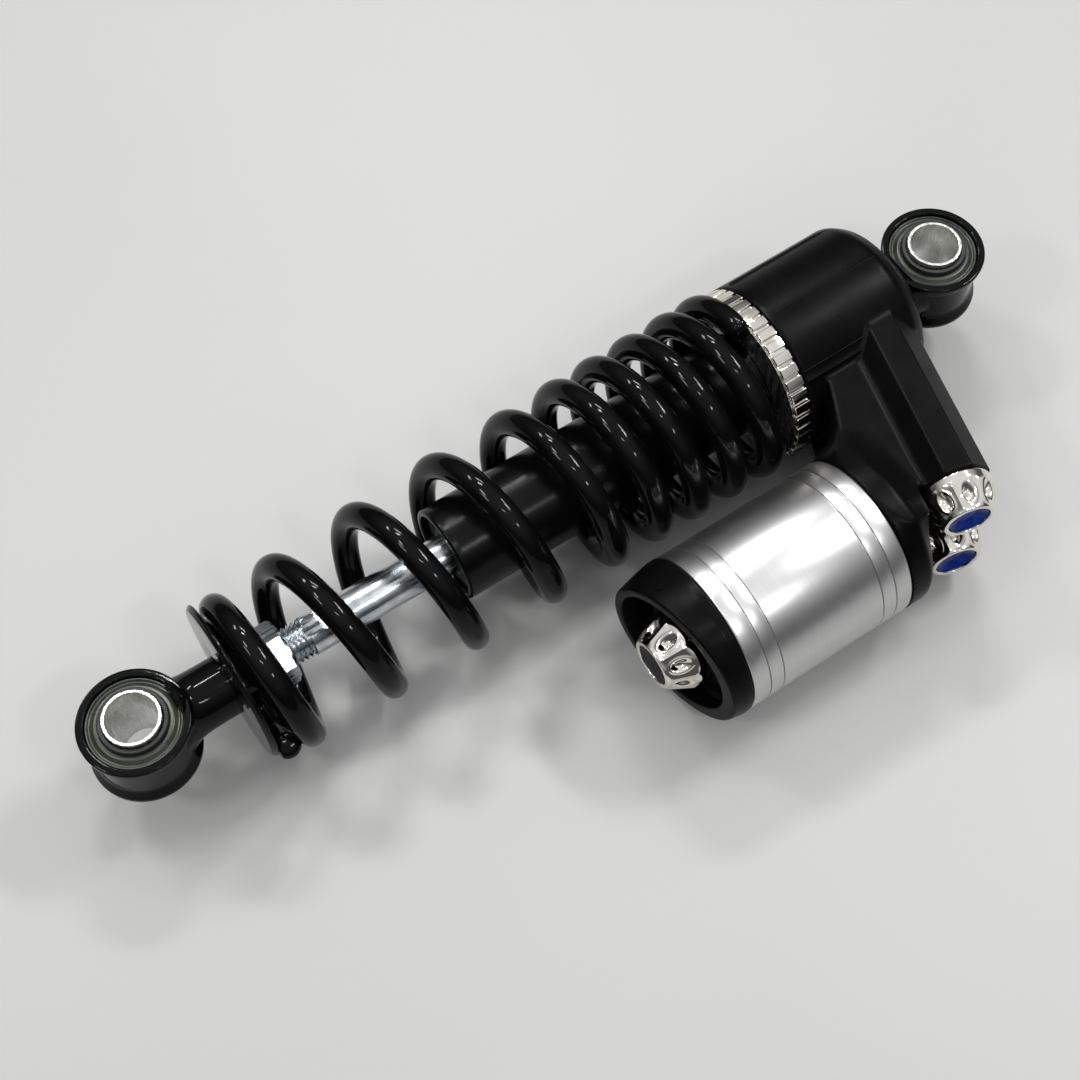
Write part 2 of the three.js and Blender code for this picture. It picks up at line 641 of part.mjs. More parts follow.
// The spring is the widest thing about the damper's axis and touches the ground below it.
parts.position.set(-EYE_TO_EYE / 2, -(SPRING_OUTER_R + RES_Y - COLLAR_R) / 2, SPRING_OUTER_R);

const shock = new THREE.Group();
shock.add(parts);

export default shock;
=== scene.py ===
"""Looks of a coil-over rear shock with a piggyback reservoir.

Shapes are laid out in millimetres from the lower eye's centre, with +X along the damper and +Z up
along the eye bores. to_row() turns them into metres in the row's frame.
"""

import json
import math

import bpy
import numpy as np
from mathutils import Matrix, Vector


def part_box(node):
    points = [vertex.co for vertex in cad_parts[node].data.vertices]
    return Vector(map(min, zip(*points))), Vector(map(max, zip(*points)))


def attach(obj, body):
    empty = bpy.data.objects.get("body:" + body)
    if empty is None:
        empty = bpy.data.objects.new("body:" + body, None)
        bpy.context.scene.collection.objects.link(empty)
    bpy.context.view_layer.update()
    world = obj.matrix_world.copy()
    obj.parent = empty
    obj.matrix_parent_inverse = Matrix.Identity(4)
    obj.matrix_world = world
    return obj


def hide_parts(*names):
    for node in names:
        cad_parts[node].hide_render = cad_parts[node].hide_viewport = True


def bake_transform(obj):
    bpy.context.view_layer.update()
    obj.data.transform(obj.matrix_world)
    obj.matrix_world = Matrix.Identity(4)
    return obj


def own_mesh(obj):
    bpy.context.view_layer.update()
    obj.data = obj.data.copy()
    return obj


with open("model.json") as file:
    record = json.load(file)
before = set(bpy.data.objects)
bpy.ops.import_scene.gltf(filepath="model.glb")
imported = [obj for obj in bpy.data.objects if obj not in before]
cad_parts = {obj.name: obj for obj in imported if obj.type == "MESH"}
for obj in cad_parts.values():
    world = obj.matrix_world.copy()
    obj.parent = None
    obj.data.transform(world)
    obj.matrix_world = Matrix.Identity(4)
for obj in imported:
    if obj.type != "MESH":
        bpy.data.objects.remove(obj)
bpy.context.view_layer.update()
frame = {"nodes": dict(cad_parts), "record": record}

MM = 0.001
TAU = 2 * math.pi
ARC_STEPS = 6
AXIS_R = 0.01


def box_middle(node):
    low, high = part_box(node)
    return np.array((low + high) / 2)


LOWER_EYE = box_middle("lower_sleeve")


def extent(node):
    """Lowest and highest corner of a CAD node, in millimetres from the lower eye's centre."""
    low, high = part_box(node)
    return (np.array(low) - LOWER_EYE) / MM, (np.array(high) - LOWER_EYE) / MM


def to_row(points):
    return np.asarray(points, float) * MM + LOWER_EYE


EYE_TO_EYE = (box_middle("upper_sleeve") - LOWER_EYE)[0] / MM
CAN_LOW, CAN_HIGH = extent("reservoir_canister")
RES_Y = (CAN_LOW[1] + CAN_HIGH[1]) / 2
RES_Z = (CAN_LOW[2] + CAN_HIGH[2]) / 2
RES_R = (CAN_HIGH[1] - CAN_LOW[1]) / 2
CAN_WALL = 2.3
TUBE_LOW, TUBE_HIGH = extent("damper_tube")
TUBE_R = TUBE_HIGH[1]
SHROUD_X = 206.0
SHROUD_R = 26.5
ARM_TILT = math.radians(14.5)
ARM_ROOT = np.array([238.0, 0.0, 0.0])
KNOB_TILT = math.radians(16)
KNOB_LENGTH = 11.0
REAR_KNOBS = {"upper": (218.9, -77.6, 10.7), "lower": (220.0, -77.9, -14.6)}
FRONT_KNOB_X = 125.2


# ------------------------------------------------------------------ camera and light

CAMERA_AXES = ((0.8301, -0.5575, -0.0123), (0.4980, 0.7314, 0.4657), (-0.2507, -0.3927, 0.8848))
CAMERA_PLACE = to_row((-10.9, -217.8, 465.7))
CAMERA_LENS = 62.48


def make_camera():
    camera = bpy.data.cameras.new("camera")
    camera.sensor_width = 36
    camera.lens = CAMERA_LENS
    camera.clip_start = 0.01
    holder = bpy.data.objects.new("camera", camera)
    bpy.context.scene.collection.objects.link(holder)
    turn = Matrix(CAMERA_AXES).transposed().to_4x4()
    holder.matrix_world = Matrix.Translation(CAMERA_PLACE) @ turn
    bpy.context.scene.camera = holder


def area_light(name, place, aim, width, height, power, glint=False):
    """A glint light shows in reflections only and leaves the floor's brightness alone."""
    light = bpy.data.lights.new(name, "AREA")
    light.shape = "RECTANGLE"
    light.size = width
    light.size_y = height
    light.energy = power
    holder = bpy.data.objects.new(name, light)
    holder.visible_diffuse = not glint
    bpy.context.scene.collection.objects.link(holder)
    holder.location = place
    holder.rotation_euler = (Vector(aim) - Vector(place)).to_track_quat("-Z", "Y").to_euler()


def sky():
    """Bright ceiling over dark walls, so that plated metal shines and black edges stay black."""
    world = bpy.data.worlds.new("studio")
    world.use_nodes = True
    tree = world.node_tree
    place = tree.nodes.new("ShaderNodeTexCoord")
    parts = tree.nodes.new("ShaderNodeSeparateXYZ")
    ramp = tree.nodes.new("ShaderNodeValToRGB")
    ramp.color_ramp.elements[0].position = 0.3
    ramp.color_ramp.elements[0].color = (0.08, 0.082, 0.084, 1)
    ramp.color_ramp.elements[1].position = 0.95
    ramp.color_ramp.elements[1].color = (0.78, 0.785, 0.79, 1)
    tree.links.new(place.outputs["Generated"], parts.inputs["Vector"])
    tree.links.new(parts.outputs["Z"], ramp.inputs["Fac"])
    tree.links.new(ramp.outputs["Color"], tree.nodes["Background"].inputs["Color"])
    return world


def light_studio():
    scene = bpy.context.scene
    scene.view_settings.view_transform = "Standard"
    scene.world = sky()
    centre = (0, 0, 0.02)
    area_light("right", (0.80, 0.02, 1.00), centre, 0.30, 0.08, 4.3)
    area_light("back_right", (0.42, 0.75, 1.05), centre, 0.30, 0.08, 3.3)
    area_light("back_left", (-0.30, 0.85, 1.05), centre, 0.30, 0.08, 2.6)
    area_light("left", (-0.90, 0.15, 1.00), centre, 0.26, 0.08, 2.0)
    area_light("front", (0.20, -0.80, 1.15), centre, 0.26, 0.08, 1.9)
    area_light("glint_back", (0.10, 0.62, 1.20), centre, 0.24, 0.045, 3.6, glint=True)
    area_light("glint_right", (0.72, -0.10, 1.10), centre, 0.20, 0.045, 2.8, glint=True)
    area_light("glint_left", (-0.62, 0.30, 1.20), centre, 0.20, 0.045, 2.8, glint=True)
    area_light("glint_front", (-0.15, -0.35, 1.30), centre, 0.20, 0.045, 1.2, glint=True)


# ------------------------------------------------------------------ materials


class Finish:
    """A Principled material with small helpers for its procedural detail."""

    def __init__(self, name, roughness=0.4, metallic=0.0, colour=(0.5, 0.5, 0.5), **constants):
        self.material = bpy.data.materials.new(name)
        self.material.use_nodes = True
        self.tree = self.material.node_tree
        self.shader = self.tree.nodes["Principled BSDF"]
        self.shader.inputs["Base Color"].default_value = (*colour, 1)
        self.shader.inputs["Roughness"].default_value = roughness
        self.shader.inputs["Metallic"].default_value = metallic
        for socket, value in constants.items():
            self.shader.inputs[socket.replace("_", " ")].default_value = value
        self.place = self.tree.nodes.new("ShaderNodeTexCoord").outputs["Object"]

    def noise(self, scale, detail=3.0, roughness=0.5, stretch=(1, 1, 1)):
        mapping = self.tree.nodes.new("ShaderNodeMapping")
        mapping.inputs["Scale"].default_value = stretch
        noise = self.tree.nodes.new("ShaderNodeTexNoise")
        noise.inputs["Scale"].default_value = scale
        noise.inputs["Detail"].default_value = detail
        noise.inputs["Roughness"].default_value = roughness
        self.tree.links.new(self.place, mapping.inputs["Vector"])
        self.tree.links.new(mapping.outputs["Vector"], noise.inputs["Vector"])
        return noise.outputs["Fac"]

    def spread(self, source, low, high, start=0.3, end=0.7):
        """Maps a 0-1 source to values from low to high."""
        ranged = self.tree.nodes.new("ShaderNodeMapRange")
        ranged.inputs["From Min"].default_value = start
        ranged.inputs["From Max"].default_value = end
        ranged.inputs["To Min"].default_value = low
        ranged.inputs["To Max"].default_value = high
        self.tree.links.new(source, ranged.inputs["Value"])
        return ranged.outputs["Result"]

    def vary_roughness(self, source, low, high, start=0.3, end=0.7):
        self.tree.links.new(self.spread(source, low, high, start, end), self.shader.inputs["Roughness"])

    def vary_colour(self, source, dark, light, start=0.3, end=0.7):
        ramp = self.tree.nodes.new("ShaderNodeValToRGB")
        ramp.color_ramp.elements[0].position = start
        ramp.color_ramp.elements[0].color = (*dark, 1)
        ramp.color_ramp.elements[1].position = end
        ramp.color_ramp.elements[1].color = (*light, 1)
        self.tree.links.new(source, ramp.inputs["Fac"])
        self.tree.links.new(ramp.outputs["Color"], self.shader.inputs["Base Color"])

    def bump(self, source, distance, strength=1.0):
        bump = self.tree.nodes.new("ShaderNodeBump")
        bump.inputs["Distance"].default_value = distance
        bump.inputs["Strength"].default_value = strength
        self.tree.links.new(source, bump.inputs["Height"])
        earlier = self.shader.inputs["Normal"].links
        if earlier:
            self.tree.links.new(earlier[0].from_socket, bump.inputs["Normal"])
        self.tree.links.new(bump.outputs["Normal"], self.shader.inputs["Normal"])


def gloss_black_paint():
    """Thick glossy paint with a faint orange peel and dust specks."""
    f = Finish("gloss_black_paint", 0.12, colour=(0.003, 0.003, 0.0032), Specular_IOR_Level=0.14)
    f.vary_colour(f.noise(90), (0.002, 0.002, 0.0022), (0.005, 0.005, 0.0052))
    f.vary_roughness(f.noise(260, 4), 0.05, 0.10)
    f.bump(f.noise(520, 1.5), 0.00004, 0.4)
    return f.material


def satin_black_plastic():
    """Moulded plastic: fine grain, slightly uneven gloss."""
    f = Finish("satin_black_plastic", 0.3, colour=(0.003, 0.003, 0.0033), Specular_IOR_Level=0.06)
    f.vary_colour(f.noise(70), (0.002, 0.002, 0.0022), (0.004, 0.004, 0.0043))
    f.vary_roughness(f.noise(90, 6), 0.24, 0.38)
    f.bump(f.noise(2600, 2), 0.00002, 0.5)
    return f.material


def satin_black_paint():
    """Semi-gloss paint on the damper tube."""
    f = Finish("satin_black_paint", 0.22, colour=(0.003, 0.003, 0.0034), Specular_IOR_Level=0.15)
    f.vary_roughness(f.noise(240, 4), 0.20, 0.25)
    f.vary_colour(f.noise(60), (0.002, 0.002, 0.0024), (0.004, 0.004, 0.0044))
    f.bump(f.noise(1800, 2), 0.00002, 0.5)
    return f.material


def brushed_silver():
    """Turned aluminium: fine rings round the canister's axis."""
    f = Finish("brushed_silver", 0.32, 1.0, (0.59, 0.585, 0.585))
    f.vary_colour(f.noise(1.0, 2, 0.5, (900, 4, 4)), (0.575, 0.57, 0.57), (0.605, 0.60, 0.60))
    f.vary_roughness(f.noise(60, 2), 0.31, 0.33)
    return f.material


def chrome():
    """Plated casting: mirror bright with a slight waviness and a warm tint."""
    f = Finish("chrome", 0.05, 1.0, (0.86, 0.83, 0.77))
    f.vary_colour(f.noise(180), (0.80, 0.76, 0.69), (0.90, 0.88, 0.84))
    f.vary_roughness(f.noise(420, 4), 0.03, 0.12)
    f.bump(f.noise(380, 2), 0.00006, 0.5)
    return f.material


def zinc_steel():
    """Zinc plated steel with a cold tint and fine drawing marks along the bar."""
    f = Finish("zinc_steel", 0.22, 1.0, (0.62, 0.66, 0.69))
    f.vary_colour(f.noise(260, 4), (0.42, 0.47, 0.50), (0.74, 0.77, 0.80))
    f.vary_roughness(f.noise(900, 3, 0.5, (0.12, 1, 1)), 0.14, 0.34)
    f.bump(f.noise(1500, 2, 0.5, (0.1, 1, 1)), 0.00002, 0.4)
    return f.material


def bright_steel():
    """Turned and polished steel."""
    f = Finish("bright_steel", 0.28, 1.0, (0.80, 0.80, 0.77))
    f.vary_colour(f.noise(300, 3), (0.74, 0.74, 0.71), (0.86, 0.86, 0.83))
    f.vary_roughness(f.noise(700, 3, 0.5, (1, 1, 0.1)), 0.18, 0.36)
    f.bump(f.noise(1400, 2), 0.00001, 0.4)
    return f.material


def bush_rubber():
    """Grey-green polyurethane with a wet sheen."""
    f = Finish("bush_rubber", 0.3, colour=(0.035, 0.042, 0.03), Specular_IOR_Level=0.5)
    f.vary_colour(f.noise(150, 4), (0.022, 0.027, 0.018), (0.05, 0.06, 0.042))
    f.vary_roughness(f.noise(320, 4), 0.24, 0.36)
    f.bump(f.noise(500, 2), 0.00001, 0.4)
    return f.material


def seal_rubber():
    """Matt black rubber."""
    f = Finish("seal_rubber", 0.55, colour=(0.012, 0.012, 0.012))
    f.vary_roughness(f.noise(500, 3), 0.45, 0.65)
    f.bump(f.noise(2200, 2), 0.00002, 0.5)
    return f.material


def blue_anodised():
    """Deep blue anodised aluminium with turning marks."""
    f = Finish("blue_anodised", 0.12, 1.0, (0.005, 0.02, 0.18))
    f.vary_colour(f.noise(420, 2), (0.003, 0.012, 0.10), (0.012, 0.045, 0.30))
    f.vary_roughness(f.noise(900, 2), 0.06, 0.2)
    return f.material


def bronze():
    """Sintered bronze of the inner bushings."""
    f = Finish("bronze", 0.4, 1.0, (0.42, 0.28, 0.13))
    f.vary_colour(f.noise(900, 3), (0.34, 0.22, 0.10), (0.50, 0.34, 0.17))
    f.bump(f.noise(3000, 2), 0.00001, 0.4)
    return f.material


def pale_floor():
    """Polished pale stone."""
    f = Finish("pale_floor", 0.42, colour=(0.61, 0.605, 0.60), Specular_IOR_Level=0.25)
    f.vary_colour(f.noise(3.5, 2), (0.595, 0.59, 0.583), (0.63, 0.625, 0.618))
    f.vary_roughness(f.noise(6, 3), 0.38, 0.46)
    return f.material


FINISHES = {
    make.__name__: make()
    for make in (
        gloss_black_paint, satin_black_plastic, satin_black_paint, brushed_silver, chrome, zinc_steel,
        bright_steel, bush_rubber, seal_rubber, blue_anodised, bronze,
    )
}


# ------------------------------------------------------------------ mesh helpers


def piece(name, shells, finish, body, replaces=(), sharp=38):
    """One object from (vertices in millimetres, faces) shells, riding on a body."""
    vertices = []
    faces = []
    for points, polygons in shells:
        first = len(vertices)
        vertices.extend(map(tuple, to_row(points)))
        faces.extend(tuple(first + v for v in polygon) for polygon in polygons)
    mesh = bpy.data.meshes.new(name)
    mesh.from_pydata(vertices, [], faces)
    mesh.update()
    mesh.shade_smooth()
    mesh.set_sharp_from_angle(angle=math.radians(sharp))
    mesh.materials.append(FINISHES[finish])
    made = bpy.data.objects.new(name, mesh)
    bpy.context.scene.collection.objects.link(made)
    if replaces:
        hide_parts(*replaces)
    if body:
        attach(made, body)
    return made


def grid_faces(rows, columns, closed_rows):
    """Quads of a grid whose columns always close on themselves. Rows close, or end in caps."""
    row = np.arange(rows if closed_rows else rows - 1)[:, None]
    column = np.arange(columns)[None, :]
    lower, upper = row * columns, (row + 1) % rows * columns
    beside = (column + 1) % columns
    quads = np.stack([lower + column, lower + beside, upper + beside, upper + column], -1).reshape(-1, 4)
    faces = [tuple(quad) for quad in quads.tolist()]
    if not closed_rows:
        faces.append(tuple(range(columns))[::-1])
        faces.append(tuple(range((rows - 1) * columns, rows * columns)))
    return faces


def facing_out(points, faces):
    """Turns the faces round if the closed shell's volume comes out negative."""
    triangles = np.array([(f[0], f[i], f[i + 1]) for f in faces for i in range(1, len(f) - 1)])
    a, b, c = (points[triangles[:, n]] for n in range(3))
    volume = np.einsum("ij,ij->i", a, np.cross(b, c)).sum()
    return faces if volume > 0 else [face[::-1] for face in faces]


def shell(grid, closed_rows=False):
    """A closed shell from a (rows, columns, 3) grid of points."""
    grid = np.asarray(grid, float)
    rows, columns = grid.shape[:2]
    points = grid.reshape(-1, 3)
    return points, facing_out(points, grid_faces(rows, columns, closed_rows))


def rounded(corners, closed=True, steps=ARC_STEPS):
    """(a, b, radius) corners to a smooth outline: each corner with a radius becomes an arc."""
    outline = []
    count = len(corners)
    for i, (a, b, radius) in enumerate(corners):
        here = np.array([a, b], float)
        if radius <= 0 or (not closed and i in (0, count - 1)):
            outline.append(here)
            continue
        back = np.array(corners[i - 1][:2]) - here
        ahead = np.array(corners[(i + 1) % count][:2]) - here
        back_length, ahead_length = np.linalg.norm(back), np.linalg.norm(ahead)
        back, ahead = back / back_length, ahead / ahead_length
        half = math.acos(np.clip(np.dot(back, ahead), -1, 1)) / 2
        if half > math.pi / 2 - 0.01:
            outline.append(here)
            continue
        reach = min(radius / math.tan(half), 0.49 * back_length, 0.49 * ahead_length)
        bend = reach * math.tan(half)
        middle = here + (back + ahead) / np.linalg.norm(back + ahead) * bend / math.sin(half)
        start = here + back * reach - middle
        end = here + ahead * reach - middle
        first = math.atan2(start[1], start[0])
        sweep = (math.atan2(end[1], end[0]) - first + math.pi) % TAU - math.pi
        for t in np.linspace(0, 1, steps + 1):
            angle = first + sweep * t
            outline.append(middle + bend * np.array([math.cos(angle), math.sin(angle)]))
    return np.array(outline)


def turned(outline, axis="x", centre=(0, 0, 0), segments=96, closed=True, radius=None):
    """Revolves (along, radius) points about X or Z. radius(along, r, angle) may shape the surface."""
    angles = np.linspace(0, TAU, segments, endpoint=False)
    along = np.repeat(outline[:, 0:1], segments, 1)
    r = np.repeat(outline[:, 1:2], segments, 1)
    turn = np.repeat(angles[None, :], len(outline), 0)
    if radius:
        r = radius(along, r, turn)
    c, s = r * np.cos(turn), r * np.sin(turn)
    grid = np.stack([along, c, s] if axis == "x" else [c, s, along], -1)
    return shell(grid + np.array(centre), closed)


def moved(part, matrix):
    """A shell put in place by a 4x4 matrix in millimetres."""
    points, faces = part
    m = np.array(matrix)
    return points @ m[:3, :3].T + m[:3, 3], faces


def smoothstep(low, high, t):
    x = np.clip((np.asarray(t, float) - low) / (high - low), 0, 1)
    return x * x * (3 - 2 * x)


# ------------------------------------------------------------------ eyes


EYE_RIM_R = extent("lower_eye")[1][1]
EYE_HALF = extent("lower_eye")[1][2]
EYE_BORE_R = 13.2
EYE_WAIST_R = 13.9
NECK_R = {"lower": 8.75, "upper": 9.0}
NECK_SINK = 0.5
FLARE_HEIGHT = 2.4
FLARE_REACH = 1.9
BEAD_AWAY = 1.0
BEAD_REACH = 0.7
BOSS_R = 7.3
BOSS_SINK = 1.5
SEAT_BORE_R = 7.6
SLEEVE_BORE_R = 6.95
SLEEVE_LIP_R = 7.15
BUSH_BORE_R = 8.25
COLLAR_DEPTH = 3


def eye_ring(x):
    """Spool: a bore, two flat faces and a waist that flares out to both rims."""
    half = [
        (EYE_BORE_R, EYE_HALF, 0.35), (EYE_RIM_R, EYE_HALF, 0.55), (EYE_RIM_R, EYE_HALF - 1.5, 0.7),
        (EYE_WAIST_R, EYE_HALF - 4.2, 3.5),
    ]
    corners = [(z, r, f) for r, z, f in half] + [(-z, r, f) for r, z, f in reversed(half)]
    return turned(rounded(corners), "z", (x, 0, 0), 128)


def eye_neck(x, side, length, radius, bead):
    """Round neck that flares into the ring's waist, with a rough weld bead at the joint."""
    angles = np.linspace(0, TAU, 96, endpoint=False)
    rows = []
    for t in np.concatenate([np.linspace(0, 0.25, 24), np.linspace(0.27, 1, 30)]):
        away = t * length
        lumps = 0.5 + 0.5 * np.sin(angles * 13 + 1.2 * np.sin(angles * 3))
        ridge = bead * lumps * math.exp(-((away - BEAD_AWAY) / BEAD_REACH) ** 2)
        r = radius + FLARE_HEIGHT * math.exp(-away / FLARE_REACH) + ridge
        y = r * np.cos(angles)
        start = np.sqrt(EYE_WAIST_R**2 - y**2) - NECK_SINK
        end = EYE_WAIST_R - NECK_SINK + length
        along = start + (end - start) * t
        rows.append(np.stack([x + side * along, y, r * np.sin(angles)], -1))
    return shell(rows)


def make_eyes():
    seat_x = extent("lower_spring_seat")[0][0]
    boss = extent("lower_eye")[1][0]
    lower_length = seat_x - 0.3 - EYE_WAIST_R + NECK_SINK
    boss_shell = turned(rounded([
        (seat_x - BOSS_SINK, AXIS_R, 0), (seat_x - BOSS_SINK, BOSS_R, 0), (boss, BOSS_R, 0.8),
        (boss, AXIS_R, 0),
    ], False), segments=64, closed=False)
    piece("lower_eye_forging", [
        eye_ring(0), eye_neck(0, 1, lower_length, NECK_R["lower"], 0.55), boss_shell,
    ], "gloss_black_paint", "rod", ["lower_eye"])
    piece("upper_eye_forging", [
        eye_ring(EYE_TO_EYE), eye_neck(EYE_TO_EYE, -1, 8, NECK_R["upper"], 0.3),
    ], "gloss_black_paint", "damper", ["upper_eye"])


def make_bushes():
    """Rubber ring with a channel and an outer lip in each face, a raised collar in black rubber whose black
    is painted shade in the gap round the sleeve, and a bright sleeve.
    """
    bush_half = extent("lower_bush")[1][2]
    sleeve_half = extent("lower_sleeve")[1][2]
    sleeve_r = extent("lower_sleeve")[1][1]
    face = [
        (BUSH_BORE_R, bush_half - 2.6, 0), (9.1, bush_half - 2.6, 0.3), (9.5, bush_half, 0.4),
        (10.7, bush_half - 0.1, 0.7), (12.0, bush_half - 1.3, 0.8), (12.5, bush_half - 0.5, 0.25),
        (13.0, bush_half - 0.5, 0.2),
    ]
    corners = [(z, r, f) for r, z, f in face] + [(-z, r, f) for r, z, f in reversed(face)]
    collar_top = (bush_half + sleeve_half) / 2
    collar = [
        (bush_half - COLLAR_DEPTH, BUSH_BORE_R, 0), (collar_top, BUSH_BORE_R, 0.2), (collar_top, 9.5, 0.45),
        (bush_half - COLLAR_DEPTH, 9.8, 0),
    ]
    collar_below = [(-z, r, f) for z, r, f in collar]
    sleeve = [
        (sleeve_half - 0.5, SLEEVE_BORE_R, 0), (sleeve_half, SLEEVE_LIP_R, 0.1),
        (sleeve_half, sleeve_r, 0.2), (-sleeve_half, sleeve_r, 0.2), (-sleeve_half, SLEEVE_LIP_R, 0.1),
        (0.5 - sleeve_half, SLEEVE_BORE_R, 0),
    ]
    for name, x, bush_body, sleeve_body in (
        ("lower", 0, "rod", "lower_sleeve"), ("upper", EYE_TO_EYE, "damper", "upper_sleeve"),
    ):
        piece(f"{name}_rubber_bush", [turned(rounded(corners), "z", (x, 0, 0), 128)],
              "bush_rubber", bush_body, [f"{name}_bush"])
        # The collar piece is black rubber as painted shade: it darkens the gap between the sleeve and the
        # grey-green bush.
        piece(f"{name}_bush_shade_collar",
              [turned(rounded(side), "z", (x, 0, 0), 128) for side in (collar, collar_below)],
              "seal_rubber", bush_body, [f"{name}_bush"])
        piece(f"{name}_steel_sleeve", [turned(rounded(sleeve), "z", (x, 0, 0), 128)],
              "bright_steel", sleeve_body, [f"{name}_sleeve"])


# ------------------------------------------------------------------ rod side


def make_lower_seat():
    low, high = extent("lower_spring_seat")
    rim = high[1]
    corners = [
        (low[0], SEAT_BORE_R, 0.2), (low[0], rim - 1, 0.8), (low[0] + 1, rim, 0.5), (high[0], rim, 0.4),
        (high[0], SEAT_BORE_R, 0.2),
    ]
    piece("lower_seat_disc", [turned(rounded(corners), segments=160)], "gloss_black_paint", "rod",
          ["lower_spring_seat"])


NUT_FLATS = 16.5
THREAD_PITCH = 1.5
THREAD_END = 51.5
FLATS_END = 58.0
FLATS_WIDTH = 9.8
ROD_R = 5.9
THREAD_R = 5.65
THREAD_DEPTH = 0.85
THREAD_START = 37.0
THREAD_STEPS = 12
STUD_X = 124.3
STUD_R = 4.0
ROD_TIP_R = 5.1
TUBE_BORE_R = 12.15
SEAL_R = 11.9


def hexagon(along, r, angle):
    """Trims round rows to six flats, so chamfered ends stay round."""
    sector = (angle + TAU / 12) % (TAU / 6) - TAU / 12
    return np.minimum(r, NUT_FLATS / 2 / np.cos(sector))


def make_lock_nut():
    low, high = extent("lock_nut")
    corner = NUT_FLATS / math.sqrt(3)
    corners = [
        (low[0], THREAD_R + 0.05, 0), (low[0], corner - 1.3, 0), (low[0] + 0.75, corner, 0.1),
        (high[0] - 0.75, corner, 0.1), (high[0], corner - 1.3, 0), (high[0], THREAD_R + 0.05, 0),
    ]
    piece("lock_nut_hex", [turned(rounded(corners), segments=240, radius=hexagon)], "zinc_steel", "rod",
          ["lock_nut"])


def thread(along, r, angle):
    """Rolled thread on the rod's lower end and two wrench flats behind it."""
    turn = (along / THREAD_PITCH - angle / TAU) % 1
    groove = THREAD_DEPTH * (1 - np.abs(2 * turn - 1))
    on_thread = smoothstep(THREAD_END, THREAD_END - 0.5, along)
    flat = FLATS_WIDTH / 2 / np.maximum(np.abs(np.sin(angle)), 1e-6)
    on_flats = (along > THREAD_END) & (along < FLATS_END)
    return np.where(on_flats, np.minimum(r, flat), r - groove * on_thread)


def make_rod():
    low, high = extent("piston_rod")
    end = high[0]
    rows = [(low[0], AXIS_R), (low[0], ROD_TIP_R)]
    rows += [(x, THREAD_R) for x in np.arange(THREAD_START, THREAD_END, THREAD_PITCH / THREAD_STEPS)]
    rows += [(THREAD_END + 0.02, THREAD_R), (THREAD_END + 0.3, ROD_R), (FLATS_END - 0.02, ROD_R)]
    rows += [(FLATS_END + 0.02, ROD_R), (FLATS_END + 1, ROD_R), (STUD_X, ROD_R), (STUD_X, STUD_R)]
    rows += [(end, STUD_R), (end, AXIS_R)]
    piece("rod_bar", [turned(np.array(rows), segments=160, closed=False, radius=thread)], "zinc_steel",
          "rod", ["piston_rod"], sharp=30)


# ------------------------------------------------------------------ damper tube and its mouth


def make_tube():
    mouth = TUBE_LOW[0]
    end = TUBE_HIGH[0]
    corners = [
        (mouth, TUBE_BORE_R + 0.3, 0.5), (mouth, TUBE_R - 0.2, 1.2), (mouth + 2.4, TUBE_R, 4),
        (end, TUBE_R, 0), (end, TUBE_BORE_R, 0), (mouth + 1.5, TUBE_BORE_R, 0.4),
    ]
    piece("tube_body", [turned(rounded(corners), segments=160)], "satin_black_paint", "damper",
          ["damper_tube"])
    seal = extent("wiper")
    lip = [
        (seal[1][0], ROD_R + 0.1, 0), (seal[0][0] - 0.6, ROD_R + 0.1, 0.2), (seal[0][0] - 0.6, 7.2, 0.4),
        (seal[0][0] + 0.6, 8.2, 0.5), (seal[0][0] + 0.6, 9.4, 0.3), (seal[0][0], 10.2, 0.4),
        (seal[0][0], SEAL_R, 0.2), (seal[1][0], SEAL_R, 0),
    ]
    piece("mouth_seal", [turned(rounded(lip), segments=128)], "seal_rubber", "damper", ["wiper"])


# ------------------------------------------------------------------ spring

WIRE_R = 3.9
SPRING_R = 24.8
SPRING_TAPER = 4.2
SPRING_LEAN = -2.1
SPRING_SETTLE = 3.0
SPRING_START_X = 31.9
SPRING_START_ANGLE = math.radians(204)
SPRING_TURNS = 9.67
SPRING_SPLIT = 7.5
PITCH_CLOSED = 3.7
PITCH_OPEN = 26.5
PITCH_TIGHT = 12.95
PITCH_END = 8.8
SEAT_GAP = 0.3
STEPS_PER_TURN = 80
WIRE_SIDES = 28
END_FLAT = 0.35
END_BULGE = 0.55


def spring_pitch(turn):
    """Rise per turn: closed at the lower end, wide in the lower half, tight above."""
    open_part = PITCH_CLOSED + (PITCH_OPEN - PITCH_CLOSED) * smoothstep(0.47, 1.24, turn)
    tight_part = open_part + (PITCH_TIGHT - PITCH_OPEN) * smoothstep(3.3, 6.1, turn)
    return tight_part + (PITCH_END - PITCH_TIGHT) * smoothstep(8.4, 9.4, turn)


def spring_line(turns):
    """The wire's centreline. Its lower turns are a little smaller and lean to one side."""
    fine = np.linspace(0, SPRING_TURNS, 4001)
    rise = spring_pitch(fine)
    step = fine[1] - fine[0]
    x = SPRING_START_X + np.concatenate([[0], np.cumsum((rise[1:] + rise[:-1]) / 2 * step)])
    angle = SPRING_START_ANGLE + turns * TAU
    settle = np.exp(-turns / SPRING_SETTLE)
    radius = SPRING_R - SPRING_TAPER * settle
    y = SPRING_LEAN * settle + radius * np.cos(angle)
    return np.stack([np.interp(turns, fine, x), y, radius * np.sin(angle)], -1)


def ground_ends():
    """The planes that both ends of the spring are ground flat on."""
    return extent("lower_spring_seat")[1][0] + SEAT_GAP, extent("spring_washer")[0][0] - SEAT_GAP


